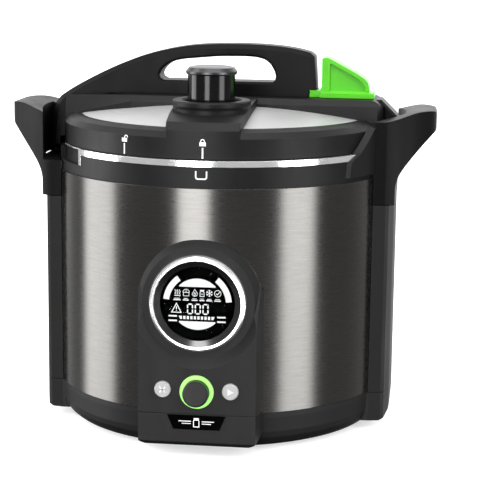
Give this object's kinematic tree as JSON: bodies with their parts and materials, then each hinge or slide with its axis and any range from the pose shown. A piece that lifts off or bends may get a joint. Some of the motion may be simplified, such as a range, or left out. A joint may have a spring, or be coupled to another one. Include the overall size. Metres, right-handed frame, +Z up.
{
  "type": "electric pressure canner",
  "caption": "Round countertop electric pressure canner with a turn-to-lock lid, arched lid handle, weighted regulator, side handles and a front control panel with display and knob.",
  "frame": {"origin": "on the resting plane, on the vertical axis of the round body", "axes": "+Z up, the control panel faces -Y, the side handles stand along +X and -X"},
  "size_m": [0.434, 0.3681, 0.3828],
  "materials": {
    "charcoal_plastic": "satin moulded",
    "zinc_steel": "plain",
    "rubber": "matt",
    "black_stainless": "brushed, dark tinted",
    "bright_trim": "polished",
    "aluminium": "cast, plain",
    "black_gloss": "gloss",
    "display_glass": "gloss, black tinted",
    "green_light": "translucent, lit",
    "circuit_board": "solder mask",
    "brass": "plain",
    "pot_aluminium": "satin anodised",
    "silicone": "translucent white",
    "satin_steel": "satin brushed",
    "dark_metal": "satin",
    "green_plastic": "lime green, satin gloss",
    "grey_plastic": "light grey"
  },
  "bodies": {
    "base": {"base_ring": "charcoal_plastic", "bottom_plate": "zinc_steel", "foot_ring": "rubber", "base_screws": "zinc_steel", "standoffs": "zinc_steel", "steel_shell": "black_stainless", "right_column": "charcoal_plastic", "left_column": "charcoal_plastic", "right_handle": "charcoal_plastic", "left_handle": "charcoal_plastic", "handle_screws": "zinc_steel", "upper_collar": "charcoal_plastic", "collar_trim": "bright_trim", "heating_vessel": "zinc_steel", "heater_plate": "aluminium", "heating_element": "zinc_steel", "sensor_bracket": "zinc_steel", "sensor_spring": "zinc_steel", "thermal_fuse": "zinc_steel", "fuse_clip": "zinc_steel", "panel_housing": "charcoal_plastic", "panel_lower_cover": "charcoal_plastic", "badge_plate": "black_gloss", "display_bezel": "bright_trim", "display_lens": "display_glass", "lcd_module": "black_gloss", "knob_light_ring": "green_light", "rotary_encoder": "zinc_steel", "button_switches": "black_gloss", "control_board": "circuit_board", "power_inlet": "black_gloss", "inlet_pins": "brass", "power_board": "circuit_board"},
    "pot": {"inner_pot": "pot_aluminium"},
    "rack": {"canning_rack": "aluminium"},
    "seal": {"sealing_ring": "silicone"},
    "lid": {"lid_cover": "charcoal_plastic", "lid_dome": "satin_steel", "lid_plate": "satin_steel", "lid_handle": "charcoal_plastic", "lid_bolts": "zinc_steel", "vent_pipe": "zinc_steel", "vent_nut": "zinc_steel", "overpressure_plug": "rubber", "release_valve_seat": "brass"},
    "regulator": {"pressure_regulator": "black_gloss", "regulator_cap": "dark_metal"},
    "release_switch": {"quick_release_switch": "green_plastic"},
    "plunger": {"release_plunger": "zinc_steel"},
    "lock_pin": {"cover_lock_pin": "zinc_steel"},
    "cancel": {"cancel_button": "grey_plastic"},
    "start": {"start_button": "grey_plastic"},
    "knob": {"selector_knob": "charcoal_plastic"},
    "sensor": {"temperature_sensor": "aluminium"}
  },
  "joints": [
    {"name": "pot_lift", "type": "slide", "parent": "base", "child": "pot", "axis": [0, 0, 1], "range_m": [0, 0.22]},
    {"name": "rack_lift", "type": "slide", "parent": "pot", "child": "rack", "axis": [0, 0, 1], "range_m": [0, 0.2]},
    {"name": "lid_lift", "type": "slide", "parent": "rack", "child": "seal", "axis": [0, 0, 1], "range_m": [0, 0.15]},
    {"name": "lid_turn", "type": "hinge", "parent": "seal", "child": "lid", "pos_m": [0, 0, 0.28], "axis": [0, 0, 1], "range_deg": [0, 28.6]},
    {"name": "regulator_lift", "type": "slide", "parent": "lid", "child": "regulator", "axis": [0, 0, 1], "range_m": [0, 0.045]},
    {"name": "release_slide", "type": "slide", "parent": "lid", "child": "release_switch", "axis": [1, 0, 0], "range_m": [0, 0.008]},
    {"name": "plunger_push", "type": "slide", "parent": "lid", "child": "plunger", "axis": [0, 0, 1], "range_m": [-0.003, 0]},
    {"name": "lock_pin_rise", "type": "slide", "parent": "lid", "child": "lock_pin", "axis": [0, 0, 1], "range_m": [0, 0.005]},
    {"name": "cancel_press", "type": "slide", "parent": "base", "child": "cancel", "axis": [0, 1, 0], "range_m": [0, 0.0015], "stiffness_N_per_m": 600, "springref_m": -0.0005},
    {"name": "start_press", "type": "slide", "parent": "base", "child": "start", "axis": [0, 1, 0], "range_m": [0, 0.0015], "stiffness_N_per_m": 600, "springref_m": -0.0005},
    {"name": "knob_turn", "type": "hinge", "parent": "base", "child": "knob", "pos_m": [0, -0.195, 0.0662], "axis": [0, -1, 0], "continuous": true},
    {"name": "sensor_press", "type": "slide", "parent": "base", "child": "sensor", "axis": [0, 0, 1], "range_m": [-0.003, 0], "stiffness_N_per_m": 400, "springref_m": 0.002, "deforming": ["sensor_spring"]}
  ],
  "couplings": [
    {"joint": "plunger_push", "follows": "release_slide", "ratio": -0.375}
  ]
}
